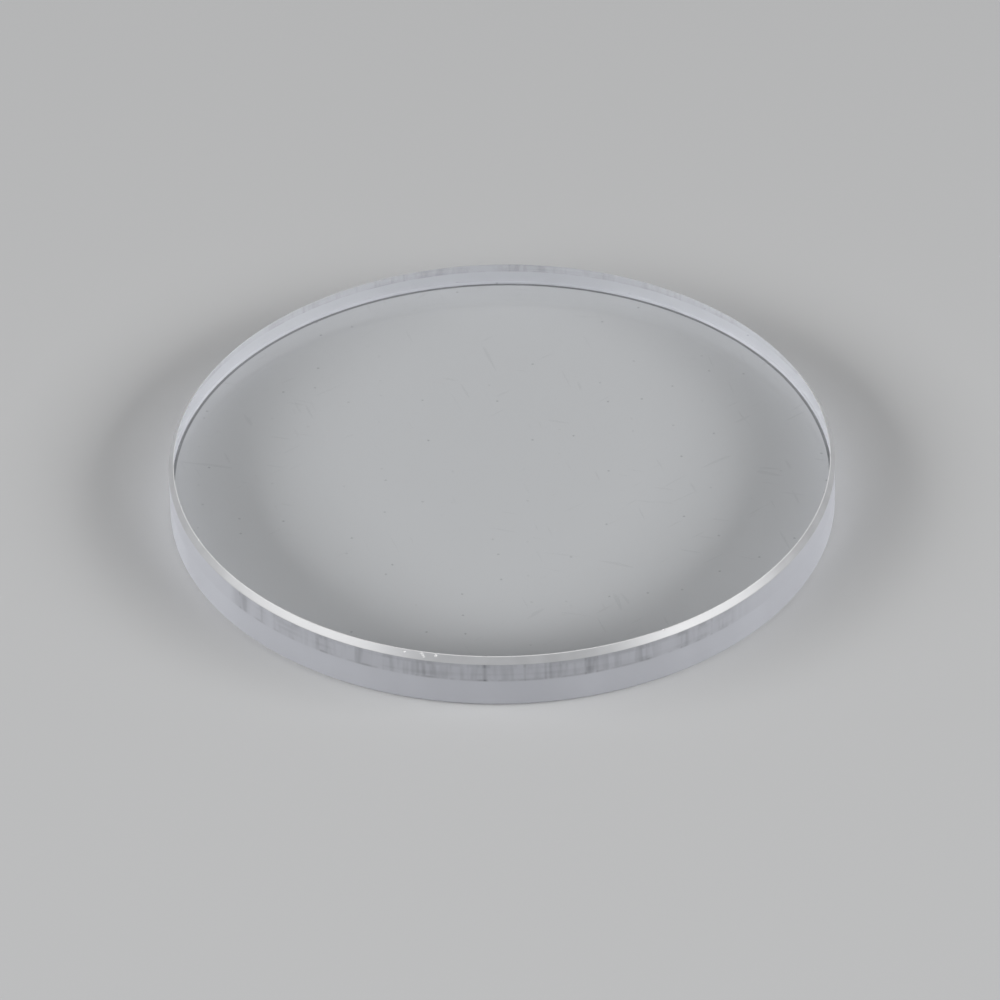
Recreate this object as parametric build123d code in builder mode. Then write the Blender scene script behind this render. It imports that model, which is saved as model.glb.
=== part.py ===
from build123d import *
import os

os.makedirs("parts", exist_ok=True)

# Flat watch crystal: one round disc of clear mineral glass, in millimetres.
# +Z is the side that the wearer looks at, and the origin is the middle of the lower face.

# Driving sizes of the disc.
crystal_diameter = 35.0
crystal_thickness = 3.0

# The upper rim carries the bevel that shows round the dial. It is ground steeper than 45 degrees:
# the width is measured in across the upper face, the drop down the wall.
upper_bevel_width = 0.25
upper_bevel_drop = 0.35

# The lower rim only has its sharp edge taken off, so that the disc enters its gasket cleanly.
lower_bevel = 0.15

# Every ground edge is broken by the final polish to this radius.
arris_radius = 0.05

# Places on the half section, worked out from the sizes above.
crystal_radius = crystal_diameter / 2
upper_face_radius = crystal_radius - upper_bevel_width
lower_face_radius = crystal_radius - lower_bevel
wall_top = crystal_thickness - upper_bevel_drop
wall_bottom = lower_bevel


# The disc is turned from its half section, as the blank turns against the wheel that grinds its edge.
with BuildPart() as crystal:
    with BuildSketch(Plane.XZ) as half_section:
        with BuildLine():
            Polyline(
                (0, 0),
                (lower_face_radius, 0),
                (crystal_radius, wall_bottom),
                (crystal_radius, wall_top),
                (upper_face_radius, crystal_thickness),
                (0, crystal_thickness),
                close=True,
            )
        make_face()
        # The two corners on the axis stay sharp: they are the middles of the flat faces.
        rim_corners = half_section.vertices().filter_by(lambda corner: corner.X > crystal_radius / 2)
        fillet(rim_corners, radius=arris_radius)
    revolve(axis=Axis.Z, revolution_arc=360)

crystal.part.label = "crystal"
export_step(crystal.part, "parts/crystal.step")

print("wall height", wall_top - wall_bottom, "mm between the two bevels")
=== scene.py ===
import logging
import math
from dataclasses import dataclass, field
from enum import Enum

import bmesh
import bpy
from mathutils import Matrix, Vector


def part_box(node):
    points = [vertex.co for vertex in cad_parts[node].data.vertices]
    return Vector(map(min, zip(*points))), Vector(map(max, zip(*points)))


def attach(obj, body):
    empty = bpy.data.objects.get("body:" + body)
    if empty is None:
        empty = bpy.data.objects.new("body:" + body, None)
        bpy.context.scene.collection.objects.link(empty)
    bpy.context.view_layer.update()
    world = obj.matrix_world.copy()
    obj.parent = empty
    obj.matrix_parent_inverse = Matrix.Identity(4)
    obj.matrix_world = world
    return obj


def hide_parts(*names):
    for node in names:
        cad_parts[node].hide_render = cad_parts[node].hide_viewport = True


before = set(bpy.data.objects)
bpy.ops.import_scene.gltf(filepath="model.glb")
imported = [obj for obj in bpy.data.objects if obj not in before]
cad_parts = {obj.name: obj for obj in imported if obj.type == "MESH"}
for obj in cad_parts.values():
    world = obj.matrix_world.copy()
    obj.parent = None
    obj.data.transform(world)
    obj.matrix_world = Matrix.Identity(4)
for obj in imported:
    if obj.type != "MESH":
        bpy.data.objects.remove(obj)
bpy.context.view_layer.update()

# A flat watch crystal on a pale studio floor. The disc is turned from its half section, and its ground
# edges are broken and lightly chipped. Its main finishes are clear polish on the two faces, a fine
# grind on the upper bevel, and a frosted grind on the wall and the lower bevel.

LOG = logging.getLogger("watch_crystal")

Socket = bpy.types.NodeSocket
Colour = tuple[float, float, float, float]
Band = tuple[float, float]

MM = 0.001
WHITE = (1.0, 1.0, 1.0, 1.0)
FULL_TURN = 2 * math.pi
GROUPS = "skip_groups"
STROKES = "skip_strokes"


class Zone(Enum):
    """The ground and polished zones of the glass, with the material slot of each."""

    POLISHED = 0
    WALL = 1
    BEVEL = 2
    ARRIS = 3
    CHIP = 4
    ROLLED = 5


def shade(colour: Colour, share: float) -> Colour:
    """The same colour at a share of its brightness."""
    red, green, blue, alpha = colour
    return (red * share, green * share, blue * share, alpha)


class NodeSheet:
    """A material's node tree, with short calls for the nodes that the finishes share."""

    def __init__(self, name: str) -> None:
        """Starts a material with one Principled shader.

        Args:
            name: the material's name.
        """
        self.material = bpy.data.materials.new(name)
        self.material.use_nodes = True
        self.tree = self.material.node_tree
        self.shader = self.tree.nodes["Principled BSDF"]

    def node(self, kind: str, **settings: str | bool) -> bpy.types.Node:
        """Adds a node.

        Args:
            kind: the node's type, such as "ShaderNodeMath".
            settings: properties to set on it.

        Returns:
            The new node.
        """
        made = self.tree.nodes.new(kind)
        for key, value in settings.items():
            setattr(made, key, value)
        return made

    def feed(self, socket: Socket, value: Socket | Colour | float) -> None:
        """Links a socket into an input, or writes a plain number or colour there.

        Args:
            socket: the input.
            value: an output socket, or a plain value.
        """
        if isinstance(value, Socket):
            self.tree.links.new(value, socket)
        else:
            socket.default_value = value

    def place(self, draw: tuple[float, float, float] = (1, 1, 1), turn_deg: float = 0) -> Socket:
        """The point on the piece, in metres, with a pattern on it drawn out along axes turned about Z.

        Args:
            draw: how many times longer the pattern gets along each axis.
            turn_deg: the turn of the axes.

        Returns:
            The coordinate's socket.
        """
        mapping = self.node("ShaderNodeMapping", vector_type="TEXTURE")
        self.feed(mapping.inputs["Vector"], self.node("ShaderNodeTexCoord").outputs["Object"])
        mapping.inputs["Rotation"].default_value = (0, 0, math.radians(turn_deg))
        mapping.inputs["Scale"].default_value = draw
        return mapping.outputs["Vector"]

    def painted(self, name: str) -> Socket:
        """A value that the mesh holds at its vertices, by its name."""
        return self.node("ShaderNodeAttribute", attribute_type="GEOMETRY", attribute_name=name).outputs["Fac"]

    def height(self) -> Socket:
        """The point's height over the lower face, in metres.

        Returns:
            The height's socket.
        """
        axes = self.node("ShaderNodeSeparateXYZ")
        self.feed(axes.inputs["Vector"], self.node("ShaderNodeTexCoord").outputs["Object"])
        return axes.outputs["Z"]

    def cloud(self, point: Socket, grain: float, detail: float = 2) -> Socket:
        """Soft noise from 0 to 1.

        Args:
            point: the coordinate that it reads.
            grain: the size of one grain, in metres.
            detail: how many finer layers it holds.

        Returns:
            The noise value's socket.
        """
        made = self.node("ShaderNodeTexNoise", noise_dimensions="3D", normalize=True)
        self.feed(made.inputs["Vector"], point)
        made.inputs["Scale"].default_value = 1 / grain
        made.inputs["Detail"].default_value = detail
        return made.outputs["Fac"]

    def sweep(self, value: Socket, low: float, high: float, to_low: float = 0, to_high: float = 1) -> Socket:
        """Carries a value smoothly from one range to another, held at both ends.

        Args:
            value: the value that is read.
            low: where it starts.
            high: where it ends.
            to_low: what it gives at low.
            to_high: what it gives at high.

        Returns:
            The result's socket.
        """
        made = self.node("ShaderNodeMapRange", interpolation_type="SMOOTHSTEP")
        self.feed(made.inputs["Value"], value)
        for key, number in {"From Min": low, "From Max": high, "To Min": to_low, "To Max": to_high}.items():
            made.inputs[key].default_value = number
        return made.outputs["Result"]

    def math(self, operation: str, first: Socket | float, second: Socket | float) -> Socket:
        """One sum of two values.

        Args:
            operation: the Math node's operation, such as "MULTIPLY".
            first: the first value or socket.
            second: the second value or socket.

        Returns:
            The result's socket.
        """
        made = self.node("ShaderNodeMath", operation=operation)
        self.feed(made.inputs[0], first)
        self.feed(made.inputs[1], second)
        return made.outputs[0]

    def blend(self, amount: Socket, first: Socket | Colour, second: Socket | Colour) -> Socket:
        """A colour between two others.

        Args:
            amount: 0 for the first, 1 for the second.
            first: a colour or a colour socket.
            second: a colour or a colour socket.

        Returns:
            The colour's socket.
        """
        made = self.node("ShaderNodeMix", data_type="RGBA")
        self.feed(made.inputs["Factor"], amount)
        # The colour inputs of this node are its seventh and eighth, behind those for plain numbers.
        self.feed(made.inputs[6], first)
        self.feed(made.inputs[7], second)
        return made.outputs[2]

    def relief(self, shape: Socket, depth: float, strength: float = 1.0) -> None:
        """Gives the surface a fine relief.

        Args:
            shape: the relief's height, from 0 to 1.
            depth: what a height of 1 measures, in metres.
            strength: how much of it shows.
        """
        bump = self.node("ShaderNodeBump")
        bump.inputs["Strength"].default_value = strength
        bump.inputs["Distance"].default_value = depth
        self.feed(bump.inputs["Height"], shape)
        self.feed(self.shader.inputs["Normal"], bump.outputs["Normal"])

    def glass(self, refraction: float, passes: float) -> None:
        """Sets the shader's plain glass values.

        Args:
            refraction: the glass's refractive index.
            passes: the share of light that goes into the glass and not back off its grind.
        """
        self.shader.inputs["IOR"].default_value = refraction
        self.shader.inputs["Transmission Weight"].default_value = passes

    def let_lamps_through(self, tint: Colour) -> None:
        """Lets lamp light and the floor's soft light pass straight through clear glass, as they nearly do.

        Args:
            tint: the light that is left after one face.
        """
        rays = self.node("ShaderNodeLightPath")
        straight = self.math("MAXIMUM", rays.outputs["Is Shadow Ray"], rays.outputs["Is Diffuse Ray"])
        open_way = self.node("ShaderNodeBsdfTransparent")
        open_way.inputs["Color"].default_value = tint
        mix = self.node("ShaderNodeMixShader")
        self.feed(mix.inputs[0], straight)
        self.feed(mix.inputs[1], self.shader.outputs["BSDF"])
        self.feed(mix.inputs[2], open_way.outputs["BSDF"])
        self.feed(self.tree.nodes["Material Output"].inputs["Surface"], mix.outputs["Shader"])


@dataclass(frozen=True)
class ClearPolish:
    """The two flat faces: clear, with hairlines from wiping and a few pits too fine to feel."""

    upper_from: float
    upper_fade: float = 1.0 * MM
    refraction: float = 1.5
    tint: Colour = (0.985, 0.992, 1.0, 1.0)
    after_one_face: Colour = (0.945, 0.95, 0.955, 1.0)
    marked_tint: Colour = (0.62, 0.63, 0.65, 1.0)
    polish: float = 0.0
    hairline_share: float = 0.22
    hairline_grain: float = 0.26 * MM
    hairline_draw: float = 10.0
    hairline_group: float = 6.0 * MM
    hairline_turns: tuple[float, ...] = (17, 74, 128)
    hairline_band: Band = (0.79, 0.84)
    group_band: Band = (0.50, 0.62)
    pit_pitch: float = 1.9 * MM
    pit_radius: float = 0.085 * MM
    pit_band: Band = (0.45, 1.0)
    mark_depth: float = 0.002 * MM
    mark_relief: float = 0.35

    def hairlines(self, sheet: NodeSheet) -> Socket:
        """Thin broken lines in three directions.

        Args:
            sheet: the material's nodes.

        Returns:
            A mask, 1 on a line.
        """
        total = None
        for turn in self.hairline_turns:
            streak = sheet.cloud(sheet.place((1, self.hairline_draw, 1), turn), self.hairline_grain, 0)
            line = sheet.sweep(streak, *self.hairline_band)
            total = line if total is None else sheet.math("MAXIMUM", total, line)
        group = sheet.sweep(sheet.cloud(sheet.place(), self.hairline_group, 0), *self.group_band)
        return sheet.math("MULTIPLY", total, group)

    def pits(self, sheet: NodeSheet) -> Socket:
        """Round specks in the upper face, one to a cell at most, and none in many cells.

        Args:
            sheet: the material's nodes.

        Returns:
            A mask, 1 in a pit.
        """
        cells = sheet.node("ShaderNodeTexVoronoi", feature="F1", voronoi_dimensions="2D")
        sheet.feed(cells.inputs["Vector"], sheet.place())
        cells.inputs["Scale"].default_value = 1 / self.pit_pitch
        share = self.pit_radius / self.pit_pitch
        spot = sheet.sweep(cells.outputs["Distance"], share, share / 2)
        pick = sheet.node("ShaderNodeSeparateColor")
        sheet.feed(pick.inputs["Color"], cells.outputs["Color"])
        picked = sheet.sweep(pick.outputs["Red"], *self.pit_band)
        upper = sheet.sweep(sheet.height(), self.upper_from, self.upper_from + self.upper_fade)
        return sheet.math("MULTIPLY", sheet.math("MULTIPLY", spot, upper), picked)

    def material(self) -> bpy.types.Material:
        """Makes the finish.

        Returns:
            The material.
        """
        sheet = NodeSheet("clear_polish")
        sheet.glass(self.refraction, 1.0)
        hairlines = sheet.math("MULTIPLY", self.hairlines(sheet), self.hairline_share)
        marks = sheet.math("MAXIMUM", hairlines, self.pits(sheet))
        sheet.feed(sheet.shader.inputs["Base Color"], sheet.blend(marks, self.tint, self.marked_tint))
        sheet.shader.inputs["Roughness"].default_value = self.polish
        sheet.relief(marks, -self.mark_depth, self.mark_relief)
        sheet.let_lamps_through(self.after_one_face)
        return sheet.material


@dataclass(frozen=True)
class FineGrind:
    """The upper bevel: ground finer than the wall, so that a lamp draws a soft bright line along it."""

    refraction: float = 1.5
    tint: Colour = (0.40, 0.405, 0.418, 1.0)
    passes: float = 0.22
    rough: float = 0.36
    gloss: float = 1.0
    gloss_rough: float = 0.34
    grain: float = 0.06 * MM
    patch: float = 1.3 * MM
    tone_band: Band = (0.35, 0.65)
    dull_shade: float = 0.93
    rough_band: Band = (0.3, 0.7)
    rough_range: Band = (0.88, 1.15)
    grain_depth: float = 0.0005 * MM
    grain_relief: float = 0.5

    def material(self) -> bpy.types.Material:
        """Makes the finish.

        Returns:
            The material.
        """
        sheet = NodeSheet("fine_grind")
        sheet.glass(self.refraction, self.passes)
        patch = sheet.cloud(sheet.place(), self.patch, 2)
        tone = sheet.blend(sheet.sweep(patch, *self.tone_band), shade(self.tint, self.dull_shade), self.tint)
        sheet.feed(sheet.shader.inputs["Base Color"], tone)
        # Below a roughness of 0.274 the denoiser takes a surface for a mirror, and would outline each patch
        # that dips under it.
        rough = sheet.sweep(patch, *self.rough_band, *(share * self.rough for share in self.rough_range))
        sheet.feed(sheet.shader.inputs["Roughness"], rough)
        sheet.shader.inputs["Coat Weight"].default_value = self.gloss
        sheet.shader.inputs["Coat Roughness"].default_value = self.gloss_rough
        sheet.relief(sheet.cloud(sheet.place(), self.grain, 2), self.grain_depth, self.grain_relief)
        return sheet.material


@dataclass(frozen=True)
class ArrisPolishPaintedHighlight:
    """The broken corner over the upper bevel: lightly polished, with a tint lighter than the bevel's as a
    painted highlight, so it shows as a thin bright line.
    """

    refraction: float = 1.5
    # Lighter than the bevel's tint: a painted highlight along the corner, over the real glints of its low
    # roughness.
    tint: Colour = (0.72, 0.72, 0.725, 1.0)
    passes: float = 0.22
    rough: float = 0.18
    nick: float = 0.5 * MM
    nick_band: Band = (0.55, 0.7)
    nick_shade: float = 0.86
    nick_rough_share: float = 1.4

    def material(self) -> bpy.types.Material:
        """Makes the finish.

        Returns:
            The material.
        """
        sheet = NodeSheet("arris_polish_painted_highlight")
        sheet.glass(self.refraction, self.passes)
        nicks = sheet.sweep(sheet.cloud(sheet.place(), self.nick, 3), *self.nick_band)
        tone = sheet.blend(nicks, self.tint, shade(self.tint, self.nick_shade))
        sheet.feed(sheet.shader.inputs["Base Color"], tone)
        rough = sheet.sweep(nicks, 0, 1, self.rough, self.nick_rough_share * self.rough)
        sheet.feed(sheet.shader.inputs["Roughness"], rough)
        return sheet.material


@dataclass(frozen=True)
class FreshBreak:
    """The bed of a chip: crushed glass that scatters white, under a shell-shaped gloss."""

    refraction: float = 1.5
    tint: Colour = (0.68, 0.68, 0.685, 1.0)
    passes: float = 0.10
    rough: float = 0.12
    ripple: float = 0.05 * MM
    ripple_band: Band = (0.3, 0.6)
    ripple_shade: float = 0.85
    ripple_depth: float = 0.004 * MM
    ripple_relief: float = 0.6

    def material(self) -> bpy.types.Material:
        """Makes the finish.

        Returns:
            The material.
        """
        sheet = NodeSheet("fresh_break")
        sheet.glass(self.refraction, self.passes)
        ripple = sheet.cloud(sheet.place(), self.ripple, 1)
        dull = shade(self.tint, self.ripple_shade)
        tone = sheet.blend(sheet.sweep(ripple, *self.ripple_band), dull, self.tint)
        sheet.feed(sheet.shader.inputs["Base Color"], tone)
        sheet.shader.inputs["Roughness"].default_value = self.rough
        sheet.relief(ripple, self.ripple_depth, self.ripple_relief)
        return sheet.material


@dataclass(frozen=True)
class PaintedShadeStrip:
    """A strip at the edge of the lower face: clear glass with a dark tint, painted shade for the dark line
    along the foot.
    """

    refraction: float = 1.5
    # A dark tint: painted shade for the line along the foot. The strip also lets no lamp light straight
    # through, so the floor under it gets a real shadow.
    tint: Colour = (0.34, 0.345, 0.36, 1.0)
    rough: float = 0.06

    def material(self) -> bpy.types.Material:
        """Makes the finish.

        Returns:
            The material.
        """
        sheet = NodeSheet("painted_shade_strip")
        sheet.glass(self.refraction, 1.0)
        sheet.shader.inputs["Base Color"].default_value = self.tint
        sheet.shader.inputs["Roughness"].default_value = self.rough
        return sheet.material


@dataclass(frozen=True)
class FrostedGrind:
    """The wall and the lower bevel: frosted by the wheel, in two passes that meet half way up.

    The upper pass carries upright marks where the wheel skipped and left the glass less frosted. They gather
    in groups, and stand on dark feet along the line where the two passes meet.
    """

    meet: float
    top: float
    refraction: float = 1.5
    tint: Colour = (0.47, 0.48, 0.52, 1.0)
    passes: float = 0.28
    rough: float = 0.60
    skipped_rough: float = 0.34
    grain: float = 0.06 * MM
    grain_depth: float = 0.004 * MM
    grain_relief: float = 0.5
    meet_below: float = 0.04 * MM
    meet_above: float = 0.10 * MM
    drift: float = 3.5 * MM
    drift_draw: float = 2.5
    drift_band: Band = (0.35, 0.65)
    drift_shade: float = 0.95
    upper_shade: float = 0.94
    mark_shade: float = 0.30
    streak_width: float = 0.30 * MM
    streak_draw: float = 10.0
    streak_band: Band = (0.42, 0.70)
    streak_range: Band = (0, 0.36)
    blot_width: float = 0.60 * MM
    blot_draw: float = 2.0
    blot_band: Band = (0.40, 0.58)
    blot_range: Band = (0, 0.46)
    ring_pitch: float = 0.28 * MM
    ring_draw: float = 22.0
    ring_band: Band = (0.48, 0.66)
    ring_range: Band = (0.14, 0.28)
    foot_height: float = 0.19 * MM
    foot_shares: Band = (1.0, 1 / 3)
    head_shares: Band = (1.6, 0.6)
    head_strength: float = 0.6
    stroke_base: float = 0.50
    stroke_ends: float = 0.55

    def upper_pass(self, sheet: NodeSheet) -> Socket:
        """A mask, 1 above the line where the two passes meet."""
        return sheet.sweep(sheet.height(), self.meet - self.meet_below, self.meet + self.meet_above)

    def marks(self, sheet: NodeSheet) -> Socket:
        """The wheel's skip marks in the upper pass, inside the groups and strokes that the mesh holds.

        Args:
            sheet: the material's nodes.

        Returns:
            A mask, 1 where the frosting is thinnest.
        """
        z = sheet.height()
        foot = sheet.sweep(z, *(self.meet + share * self.foot_height for share in self.foot_shares))
        head = sheet.sweep(z, *(self.top - share * self.foot_height for share in self.head_shares))
        ends = sheet.math("MAXIMUM", foot, sheet.math("MULTIPLY", head, self.head_strength))
        streak = sheet.cloud(sheet.place((1, 1, self.streak_draw)), self.streak_width, 1)
        streak = sheet.sweep(streak, *self.streak_band, *self.streak_range)
        blot = sheet.cloud(sheet.place((1, 1, self.blot_draw)), self.blot_width, 1)
        blot = sheet.math("MULTIPLY", sheet.sweep(blot, *self.blot_band, *self.blot_range), ends)
        rings = sheet.cloud(sheet.place((self.ring_draw, self.ring_draw, 1)), self.ring_pitch, 0)
        rings = sheet.sweep(rings, *self.ring_band, *self.ring_range)
        group = sheet.math("ADD", rings, sheet.math("MAXIMUM", streak, blot))
        group = sheet.math("MULTIPLY", group, sheet.painted(GROUPS))
        stroke = sheet.math("ADD", sheet.math("MULTIPLY", ends, self.stroke_ends), self.stroke_base)
        stroke = sheet.math("MULTIPLY", stroke, sheet.painted(STROKES))
        return sheet.math("MULTIPLY", sheet.math("MAXIMUM", group, stroke), self.upper_pass(sheet))

    def material(self) -> bpy.types.Material:
        """Makes the finish.

        Returns:
            The material.
        """
        sheet = NodeSheet("frosted_grind")
        sheet.glass(self.refraction, self.passes)
        marks, upper = self.marks(sheet), self.upper_pass(sheet)
        drift = sheet.cloud(sheet.place((1, 1, self.drift_draw)), self.drift, 2)
        drift = sheet.sweep(drift, *self.drift_band)
        colour = sheet.blend(drift, shade(self.tint, self.drift_shade), self.tint)
        colour = sheet.blend(upper, colour, shade(self.tint, self.upper_shade))
        colour = sheet.blend(marks, colour, shade(self.tint, self.mark_shade))
        sheet.feed(sheet.shader.inputs["Base Color"], colour)
        sheet.feed(sheet.shader.inputs["Roughness"], sheet.sweep(marks, 0, 1, self.rough, self.skipped_rough))
        sheet.relief(sheet.cloud(sheet.place(), self.grain, 3), self.grain_depth, self.grain_relief)
        return sheet.material


@dataclass(frozen=True)
class FloorPaint:
    """The studio floor: plain, pale and matt."""

    tint: Colour = (0.50, 0.503, 0.507, 1.0)
    rough: float = 0.65
    specular: float = 0.3

    def material(self) -> bpy.types.Material:
        """Makes the finish.

        Returns:
            The material.
        """
        sheet = NodeSheet("floor_paint")
        sheet.shader.inputs["Roughness"].default_value = self.rough
        sheet.shader.inputs["Specular IOR Level"].default_value = self.specular
        sheet.shader.inputs["Base Color"].default_value = self.tint
        return sheet.material


@dataclass(frozen=True)
class ScrimCloth:
    """The cloth before a lamp: open to its light, but dark in the mirror image that polished glass shows.

    The lamp's image there then has the tone of the air round it, and draws no white patch on the face.
    """

    mirrored_tint: Colour
    open_tint: Colour = WHITE

    def material(self) -> bpy.types.Material:
        """Makes the finish.

        Returns:
            The material.
        """
        sheet = NodeSheet("scrim_cloth")
        mirrored = sheet.node("ShaderNodeLightPath").outputs["Is Singular Ray"]
        cloth = sheet.node("ShaderNodeBsdfTransparent")
        sheet.feed(cloth.inputs["Color"], sheet.blend(mirrored, self.open_tint, self.mirrored_tint))
        sheet.feed(sheet.tree.nodes["Material Output"].inputs["Surface"], cloth.outputs["BSDF"])
        return sheet.material


@dataclass(frozen=True)
class Chip:
    """A small shell-shaped flake lost from the upper edge.

    The turn is from the camera's side, and the place is the share of the way up the bevel.
    """

    turn_deg: float
    place_share: float
    radius: float
    depth: float

    def centre(self, low: tuple[float, float], high: tuple[float, float]) -> Vector:
        """The middle of the ball whose surface the flake's bed follows.

        Args:
            low: the bevel's lower corner, as radius and height.
            high: its upper corner.

        Returns:
            The middle, outside the glass.
        """
        across = low[0] + (high[0] - low[0]) * self.place_share
        up = low[1] + (high[1] - low[1]) * self.place_share
        out = Vector((high[1] - low[1], 0, low[0] - high[0])).normalized()
        turn = math.radians(self.turn_deg) - math.pi / 2
        return Matrix.Rotation(turn, 3, "Z") @ (Vector((across, 0, up)) + out * (self.radius - self.depth))


@dataclass(frozen=True)
class Skip:
    """A stretch of the rim where the wheel skipped: its middle and half its width, both as turns."""

    turn_deg: float
    half_deg: float
    strength: float = 1.0

    def at(self, turn_deg: float, soft_share: float) -> float:
        """How strongly the stretch marks a place on the rim.

        Args:
            turn_deg: the place, as a turn from the camera's side.
            soft_share: the share of the half width over which the mark fades out.

        Returns:
            From 0 to the stretch's strength.
        """
        away = abs((turn_deg - self.turn_deg + 180) % 360 - 180)
        inside = (self.half_deg - away) / (self.half_deg * soft_share)
        return self.strength * max(0.0, min(1.0, inside))


def skip_groups() -> list[Skip]:
    """The groups of marks in front and behind, over the two wide stretches where the upper pass is duller.

    Returns:
        The stretches, each with its turn, half width and strength.
    """
    front = [(-50.6, 3, 0.9), (-46, 2, 0.7), (-39.5, 4.5, 0.9), (-32, 2.6, 1.0), (-24.4, 2.6, 1.0)]
    front += [(-19.8, 2.5, 0.9), (-13.5, 3.4, 1.0), (-9.4, 1.4, 0.9), (-3.6, 2.6, 1.0), (8.0, 4.6, 0.9)]
    front += [(14.5, 2.4, 1.0), (20.0, 4.0, 0.6), (24.0, 2.0, 1.0), (31.0, 2.2, 1.0), (35.2, 2.6, 0.9)]
    front += [(40.2, 2.8, 0.65)]
    wide = [Skip(0, 54, 0.60), Skip(180, 66, 0.42)]
    back = [(98, 7, 0.4), (119, 6, 0.6), (136, 5, 0.75), (150, 7, 0.9), (161, 4, 0.7), (175, 8, 0.95)]
    back += [(-168, 6, 0.8), (-159, 4, 1.0), (-147, 6, 0.7), (-138, 5, 0.9), (-119, 6, 0.6), (-101, 8, 0.4)]
    return wide + [Skip(*place) for place in front + back]


def skip_strokes() -> list[Skip]:
    """The strong single strokes, in front and behind.

    Returns:
        The strokes, each with its turn, half width and strength.
    """
    front = [(-51, 0.7, 0.65), (-42.4, 0.6, 0.45), (-38.4, 0.5, 0.5), (-31.6, 0.9, 0.6), (-15.0, 0.6, 0.5)]
    front += [(-12.4, 0.8, 0.55), (-6.3, 0.4, 0.4), (-3.5, 0.75, 1.0), (3.2, 0.45, 0.7), (6.8, 0.4, 0.4)]
    front += [(10.2, 0.45, 0.45), (13.5, 0.6, 0.75), (15.5, 0.5, 0.65), (23.3, 0.5, 0.65), (24.3, 0.5, 0.65)]
    front += [(31.0, 0.55, 0.6), (37.2, 0.45, 0.45)]
    back = [(-163, 0.5, 0.7), (178, 0.6, 0.8), (146, 0.5, 0.7), (121, 0.5, 0.5), (-104, 0.6, 0.4)]
    back += [(-143, 0.5, 0.7)]
    return [Skip(turn, half, strength) for turn, half, strength in front + back]


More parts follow.
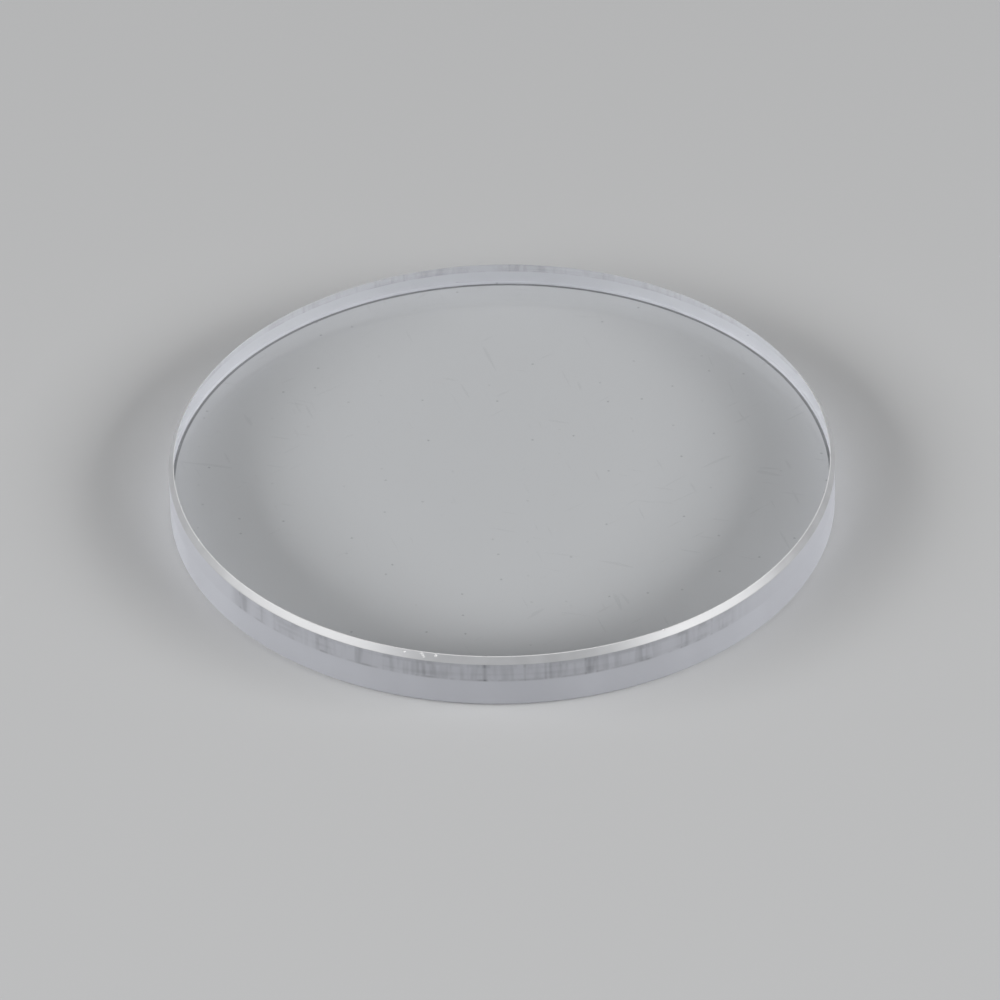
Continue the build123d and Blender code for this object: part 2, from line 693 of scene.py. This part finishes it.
@dataclass
class Crystal:
    """The glass disc, with its sizes in metres. The outer ones come from the crystal part's box."""

    radius: float
    thickness: float
    upper_bevel_width: float = 0.25 * MM
    upper_bevel_drop: float = 0.35 * MM
    lower_bevel: float = 0.15 * MM
    arris_radius: float = 0.05 * MM
    edge_strip: float = 0.14 * MM
    arris_segments: int = 5
    bevel_rows: int = 6
    chip_cuts: int = 4
    chip_margin_rows: float = 1.5
    steps: int = 1440
    pass_meet_share: float = 0.52
    pass_step: float = 0.003 * MM
    pass_step_height: float = 0.08 * MM
    weld_share: float = 0.1
    ring_share: float = 0.25
    near_deg: float = 0.5
    group_soft_share: float = 0.7
    stroke_soft_share: float = 1.0
    chips: list[Chip] = field(
        default_factory=lambda: [
            Chip(-17.3, 0.68, 0.16 * MM, 0.016 * MM),
            Chip(-14.3, 0.82, 0.11 * MM, 0.028 * MM),
            Chip(-14.05, 0.62, 0.11 * MM, 0.032 * MM),
            Chip(-13.85, 0.42, 0.10 * MM, 0.022 * MM),
            Chip(-11.8, 0.74, 0.12 * MM, 0.034 * MM),
            Chip(28.0, 1.0, 0.14 * MM, 0.020 * MM),
            Chip(103.0, 0.8, 0.30 * MM, 0.050 * MM),
            Chip(-66.0, 1.0, 0.16 * MM, 0.022 * MM),
            Chip(163.0, 0.9, 0.20 * MM, 0.030 * MM),
            Chip(-139.0, 1.0, 0.16 * MM, 0.022 * MM),
        ]
    )
    groups: list[Skip] = field(default_factory=skip_groups)
    strokes: list[Skip] = field(default_factory=skip_strokes)

    @property
    def upper_face_radius(self) -> float:
        """The radius of the flat upper face."""
        return self.radius - self.upper_bevel_width

    @property
    def wall_top(self) -> float:
        """The height at which the wall meets the upper bevel."""
        return self.thickness - self.upper_bevel_drop

    @property
    def pass_meet(self) -> float:
        """The height at which the two grinding passes meet, a little over half way up."""
        return self.thickness * self.pass_meet_share

    @property
    def shade_strip_from(self) -> float:
        """The radius from which the strip of painted shade runs on the lower face."""
        return self.radius - self.lower_bevel - self.edge_strip

    @property
    def bevel_pitch(self) -> float:
        """The height of one row of the bevel's faces, up the slope."""
        return math.hypot(self.upper_bevel_width, self.upper_bevel_drop) / self.bevel_rows

    @property
    def bevel_slope(self) -> float:
        """The upper bevel's slope from level, in radians."""
        return math.atan2(self.upper_bevel_drop, self.upper_bevel_width)

    def half_section(self) -> list[tuple[float, float]]:
        """The outline from the middle of the lower face out and up to the middle of the upper one.

        Returns:
            Points as radius and height.
        """
        upper_wall = self.radius - self.pass_step
        bevel = [(upper_wall, self.wall_top), (self.upper_face_radius, self.thickness)]
        rows = [share / self.bevel_rows for share in range(1, self.bevel_rows)]
        between = [tuple(low + (high - low) * row for low, high in zip(*bevel)) for row in rows]
        return [
            (0, 0),
            (self.radius / 2, 0),
            (self.shade_strip_from, 0),
            (self.radius - self.lower_bevel, 0),
            (self.radius, self.lower_bevel),
            (self.radius, self.pass_meet - self.pass_step_height / 2),
            (upper_wall, self.pass_meet + self.pass_step_height / 2),
            bevel[0],
            *between,
            bevel[1],
            (self.upper_face_radius - self.edge_strip, self.thickness),
            (self.radius / 2, self.thickness),
            (0, self.thickness),
        ]

    def turned(self) -> bmesh.types.BMesh:
        """Spins the half section into a closed disc, with its normals out.

        Returns:
            The mesh.
        """
        disc = bmesh.new()
        points = [disc.verts.new((across, 0, up)) for across, up in self.half_section()]
        chain = [disc.edges.new(pair) for pair in zip(points, points[1:])]
        bmesh.ops.spin(
            disc,
            geom=points + chain,
            cent=(0, 0, 0),
            axis=(0, 0, 1),
            angle=FULL_TURN,
            steps=self.steps,
            use_merge=True,
        )
        bmesh.ops.remove_doubles(disc, verts=disc.verts[:], dist=self.pass_step * self.weld_share)
        bmesh.ops.recalc_face_normals(disc, faces=disc.faces[:])
        return disc

    def ring(self, disc: bmesh.types.BMesh, across: float, up: float) -> list[bmesh.types.BMEdge]:
        """The edges that run round the disc at one radius and height.

        Args:
            disc: the mesh.
            across: the ring's radius.
            up: the ring's height.

        Returns:
            The ring's edges.
        """
        near = self.pass_step * self.ring_share

        def on_ring(vert: bmesh.types.BMVert) -> bool:
            """True for a vertex of the ring."""
            return abs(vert.co.xy.length - across) < near and abs(vert.co.z - up) < near

        return [edge for edge in disc.edges if all(on_ring(vert) for vert in edge.verts)]

    def break_edges(self, disc: bmesh.types.BMesh) -> None:
        """Rounds the four ground corners to the arris radius.

        Args:
            disc: the mesh.
        """
        quarter = math.pi / 4
        corners = [
            (self.radius - self.lower_bevel, 0, quarter),
            (self.radius, self.lower_bevel, quarter),
            (self.radius - self.pass_step, self.wall_top, math.pi / 2 - self.bevel_slope),
            (self.upper_face_radius, self.thickness, self.bevel_slope),
        ]
        for across, up, turn in corners:
            bmesh.ops.bevel(
                disc,
                geom=self.ring(disc, across, up),
                offset=self.arris_radius * math.tan(turn / 2),
                offset_type="OFFSET",
                affect="EDGES",
                segments=self.arris_segments,
                profile=0.5,
                material=-1,
                clamp_overlap=True,
            )

    def paint_skips(self, disc: bmesh.types.BMesh) -> None:
        """Holds the strength of the wheel's skip marks at each vertex, for the wall's finish to read.

        Args:
            disc: the mesh.
        """
        groups, strokes = disc.verts.layers.float.new(GROUPS), disc.verts.layers.float.new(STROKES)
        wall = self.radius - 2 * self.pass_step
        for vert in [vert for vert in disc.verts if vert.co.xy.length > wall]:
            turn = math.degrees(math.atan2(vert.co.x, -vert.co.y))
            vert[groups] = max(skip.at(turn, self.group_soft_share) for skip in self.groups)
            vert[strokes] = max(skip.at(turn, self.stroke_soft_share) for skip in self.strokes)

    def chip_edge(self, disc: bmesh.types.BMesh) -> None:
        """Sinks each chip's bed into the upper edge and gives it the finish of a fresh break.

        The faces round a chip are cut finer first, so that its rim is round.

        Args:
            disc: the mesh.
        """
        low, high = (self.radius - self.pass_step, self.wall_top), (self.upper_face_radius, self.thickness)
        floor = self.wall_top - self.arris_radius
        margin = self.chip_margin_rows * self.bevel_pitch
        centres = {chip: chip.centre(low, high) for chip in self.chips}

        def by_a_chip(edge: bmesh.types.BMEdge) -> bool:
            """True for an edge of the rim with both its ends by one chip."""
            ends = [vert.co for vert in edge.verts]
            return min(end.z for end in ends) > floor and any(
                all((end - centre).length < chip.radius + margin for end in ends)
                for chip, centre in centres.items()
            )

        near = [edge for edge in disc.edges if by_a_chip(edge)]
        bmesh.ops.subdivide_edges(disc, edges=near, cuts=self.chip_cuts, use_grid_fill=True)
        verts = [vert for vert in disc.verts if vert.co.z > floor]
        for chip, centre in centres.items():
            bed = {vert for vert in verts if (vert.co - centre).length < chip.radius}
            for vert in bed:
                vert.co = centre + (vert.co - centre).normalized() * chip.radius
            for face in {face for vert in bed for face in vert.link_faces}:
                if bed.issuperset(face.verts):
                    face.material_index = Zone.CHIP.value

    def zone(self, face: bmesh.types.BMFace) -> Zone:
        """The zone that a face belongs to, read from its height and the rise of its normal.

        Args:
            face: a face of the disc, before its edge is chipped.

        Returns:
            Its zone.
        """
        rise = math.degrees(math.asin(max(-1.0, min(1.0, face.normal.z))))
        near = self.near_deg
        middle = face.calc_center_median()
        # The strip of painted shade at the edge of the lower face.
        if middle.z < self.arris_radius and middle.xy.length > self.shade_strip_from and rise < -45 - near:
            return Zone.ROLLED
        if abs(abs(rise) - 90) < near:
            return Zone.POLISHED
        if middle.z < self.wall_top - self.arris_radius:
            return Zone.WALL
        # The corner under the bevel is ground with it: only the corner above it is polished, and lighter in
        # tint as a painted highlight.
        return Zone.BEVEL if rise < 90 - math.degrees(self.bevel_slope) + near else Zone.ARRIS

    def finish_faces(self, disc: bmesh.types.BMesh) -> None:
        """Gives each face its slot and smooth shading.

        Args:
            disc: the mesh.
        """
        disc.normal_update()
        for face in disc.faces:
            face.material_index = self.zone(face).value
            face.smooth = True

    def crease(self, disc: bmesh.types.BMesh) -> None:
        """Draws a crisp line wherever two zones meet.

        Args:
            disc: the mesh.
        """
        for edge in disc.edges:
            edge.smooth = len({face.material_index for face in edge.link_faces}) == 1

    def build(self) -> bpy.types.Object:
        """Makes the dressed disc.

        Returns:
            The disc's object, at the origin.
        """
        disc = self.turned()
        self.break_edges(disc)
        self.finish_faces(disc)
        self.paint_skips(disc)
        self.chip_edge(disc)
        self.crease(disc)
        mesh = bpy.data.meshes.new("crystal_disc")
        disc.to_mesh(mesh)
        disc.free()
        piece = bpy.data.objects.new("crystal_disc", mesh)
        bpy.context.scene.collection.objects.link(piece)
        finishes = {
            Zone.POLISHED: ClearPolish(upper_from=self.pass_meet),
            Zone.WALL: FrostedGrind(meet=self.pass_meet, top=self.wall_top),
            Zone.BEVEL: FineGrind(),
            Zone.ARRIS: ArrisPolishPaintedHighlight(),
            Zone.CHIP: FreshBreak(),
            Zone.ROLLED: PaintedShadeStrip(),
        }
        for zone in Zone:
            mesh.materials.append(finishes[zone].material())
        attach(piece, "root")
        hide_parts("crystal")
        return piece


def stage_sheet(name: str, sheet: bmesh.types.BMesh, finish: bpy.types.Material) -> bpy.types.Object:
    """Turns a flat sheet into a piece of the studio.

    Args:
        name: the piece's name.
        sheet: its mesh, which is used up.
        finish: its material.

    Returns:
        The piece's object.
    """
    mesh = bpy.data.meshes.new(name)
    sheet.to_mesh(mesh)
    sheet.free()
    mesh.materials.append(finish)
    made = bpy.data.objects.new(name, mesh)
    bpy.context.scene.collection.objects.link(made)
    return made


@dataclass(frozen=True)
class Softbox:
    """One wide soft lamp, aimed at the disc, with a cloth before it.

    Turn 0 is the camera's side, and positive turns go to its right.
    """

    name: str
    turn_deg: float
    rise_deg: float
    distance: float
    width: float
    height: float
    watts: float
    cloth_gap: float = 0.05 * MM
    cloth_overhang: float = 0.01 * MM

    @property
    def glow(self) -> float:
        """How bright the lamp's own face is, where 1 is white."""
        return self.watts / (math.pi * self.width * self.height)

    def place(self) -> Matrix:
        """The lamp's place and turn, with its face to the disc.

        Returns:
            The matrix from the lamp's own axes to the scene's.
        """
        turn, rise = math.radians(self.turn_deg), math.radians(self.rise_deg)
        toward = Vector((math.sin(turn) * math.cos(rise), -math.cos(turn) * math.cos(rise), math.sin(rise)))
        aimed = (-toward).to_track_quat("-Z", "Y").to_matrix().to_4x4()
        return Matrix.Translation(toward * self.distance) @ aimed

    def light(self) -> bpy.types.Object:
        """Makes the lamp.

        Returns:
            The lamp's object.
        """
        lamp = bpy.data.lights.new(self.name, "AREA")
        lamp.energy = self.watts
        lamp.shape = "RECTANGLE"
        lamp.size = self.width
        lamp.size_y = self.height
        made = bpy.data.objects.new(self.name, lamp)
        made.matrix_world = self.place()
        bpy.context.scene.collection.objects.link(made)
        return made

    def cloth(self) -> bpy.types.Object:
        """Hangs the cloth before the lamp, which it just covers as seen from the disc.

        Returns:
            The cloth's object.
        """
        sheet = bmesh.new()
        # A square one metre wide, which the sides below then draw out.
        bmesh.ops.create_grid(sheet, x_segments=1, y_segments=1, size=0.5)
        cover = 1 - self.cloth_gap / self.distance
        sides = [side * cover + self.cloth_overhang for side in (self.width, self.height)]
        size = Matrix.Diagonal((*sides, 1, 1))
        before = Matrix.Translation((0, 0, -self.cloth_gap))
        bmesh.ops.transform(sheet, matrix=self.place() @ before @ size, verts=sheet.verts[:])
        finish = ScrimCloth(mirrored_tint=shade(FloorPaint().tint, 1 / self.glow)).material()
        return stage_sheet(f"{self.name}_cloth", sheet, finish)


@dataclass(frozen=True)
class PhotoCamera:
    """The photograph's camera: a long lens, high in front, with the horizon a little off level."""

    rise_deg: float = 36.92
    roll_deg: float = 1.03
    distance: float = 0.42
    lens: float = 286.8
    sensor: float = 36.0
    near_share: float = 0.05
    aim: tuple[float, float, float] = (-0.134 * MM, 0, -0.023 * MM)

    def place(self) -> bpy.types.Object:
        """Makes the camera and gives it to the scene.

        Returns:
            The camera's object.
        """
        data = bpy.data.cameras.new("camera")
        data.sensor_width = self.sensor
        data.lens = self.lens
        data.clip_start = self.distance * self.near_share
        made = bpy.data.objects.new("camera", data)
        turned = Matrix.Rotation(math.radians(90 - self.rise_deg), 4, "X")
        rolled = Matrix.Rotation(math.radians(-self.roll_deg), 4, "Z")
        moved = Matrix.Translation((0, 0, self.distance))
        made.matrix_world = Matrix.Translation(self.aim) @ turned @ moved @ rolled
        bpy.context.scene.collection.objects.link(made)
        bpy.context.scene.camera = made
        return made


@dataclass(frozen=True)
class Studio:
    """The floor, the air and the lamps."""

    floor_half: float = 3.0
    floor_gap: float = 0.01 * MM
    fill: float = 0.20
    lamps: tuple[Softbox, ...] = (
        Softbox("softbox_left", -69, 26, 0.60, 0.72, 0.20, 3.9),
        Softbox("softbox_right", 69, 26, 0.60, 0.56, 0.20, 3.5),
    )

    def floor(self) -> bpy.types.Object:
        """Lays the floor just under the disc.

        Returns:
            The floor's object.
        """
        sheet = bmesh.new()
        bmesh.ops.create_grid(sheet, x_segments=1, y_segments=1, size=self.floor_half)
        bmesh.ops.translate(sheet, verts=sheet.verts[:], vec=(0, 0, -self.floor_gap))
        return stage_sheet("floor", sheet, FloorPaint().material())

    def air(self) -> bpy.types.World:
        """Makes a plain world: soft fill for the light, and the floor's own tone where it is seen.

        Returns:
            The world.
        """
        world = bpy.data.worlds.new("air")
        bpy.context.scene.world = world
        world.use_nodes = True
        tree = world.node_tree
        tree.nodes.clear()
        fill, seen = tree.nodes.new("ShaderNodeBackground"), tree.nodes.new("ShaderNodeBackground")
        fill.inputs["Color"].default_value = WHITE
        fill.inputs["Strength"].default_value = self.fill
        seen.inputs["Color"].default_value = FloorPaint().tint
        seen.inputs["Strength"].default_value = 1
        rays = tree.nodes.new("ShaderNodeLightPath")
        shown = rays.outputs["Is Camera Ray"]
        for kind in ("Is Glossy Ray", "Is Transmission Ray"):
            either = tree.nodes.new("ShaderNodeMath")
            either.operation = "MAXIMUM"
            tree.links.new(shown, either.inputs[0])
            tree.links.new(rays.outputs[kind], either.inputs[1])
            shown = either.outputs[0]
        mix, out = tree.nodes.new("ShaderNodeMixShader"), tree.nodes.new("ShaderNodeOutputWorld")
        tree.links.new(shown, mix.inputs[0])
        tree.links.new(fill.outputs[0], mix.inputs[1])
        tree.links.new(seen.outputs[0], mix.inputs[2])
        tree.links.new(mix.outputs[0], out.inputs["Surface"])
        return world

    def build(self) -> None:
        """Makes the whole studio."""
        self.floor()
        self.air()
        for lamp in self.lamps:
            lamp.light()
            lamp.cloth()
        PhotoCamera().place()
        bpy.context.scene.view_settings.view_transform = "Standard"


def main() -> None:
    """Builds the disc and the studio, and reports the disc."""
    logging.basicConfig(level=logging.INFO, format="%(name)s: %(message)s")
    low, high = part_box("crystal")
    crystal = Crystal(radius=high.x, thickness=high.z - low.z)
    piece = crystal.build()
    LOG.info("%s: %d vertices, %d faces", piece.name, len(piece.data.vertices), len(piece.data.polygons))
    Studio().build()


if __name__ == "__main__":
    main()
